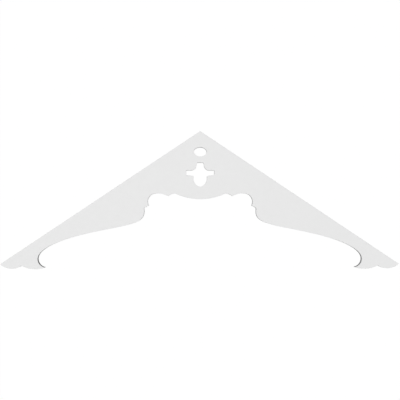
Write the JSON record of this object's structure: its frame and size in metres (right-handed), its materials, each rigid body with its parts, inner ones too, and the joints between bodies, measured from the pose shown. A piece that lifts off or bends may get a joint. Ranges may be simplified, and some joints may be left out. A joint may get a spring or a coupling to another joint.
{
  "type": "gable pediment",
  "caption": "Flat one-piece gable pediment board with straight raked edges, a scroll-cut arched lower edge, and an oval and a cross pierced under the apex.",
  "frame": {"origin": "middle of the outline's width and height, on the mounting face that lies on the floor", "axes": "+X along the board's width, +Y up the gable towards the apex, +Z out of the finished face"},
  "size_m": [1.8288, 0.6318, 0.0254],
  "materials": {
    "cellular_pvc": "smooth satin white on the faces, finely sawn on the cut edges"
  },
  "bodies": {
    "root": {"pediment_board": "cellular_pvc"}
  },
  "joints": []
}
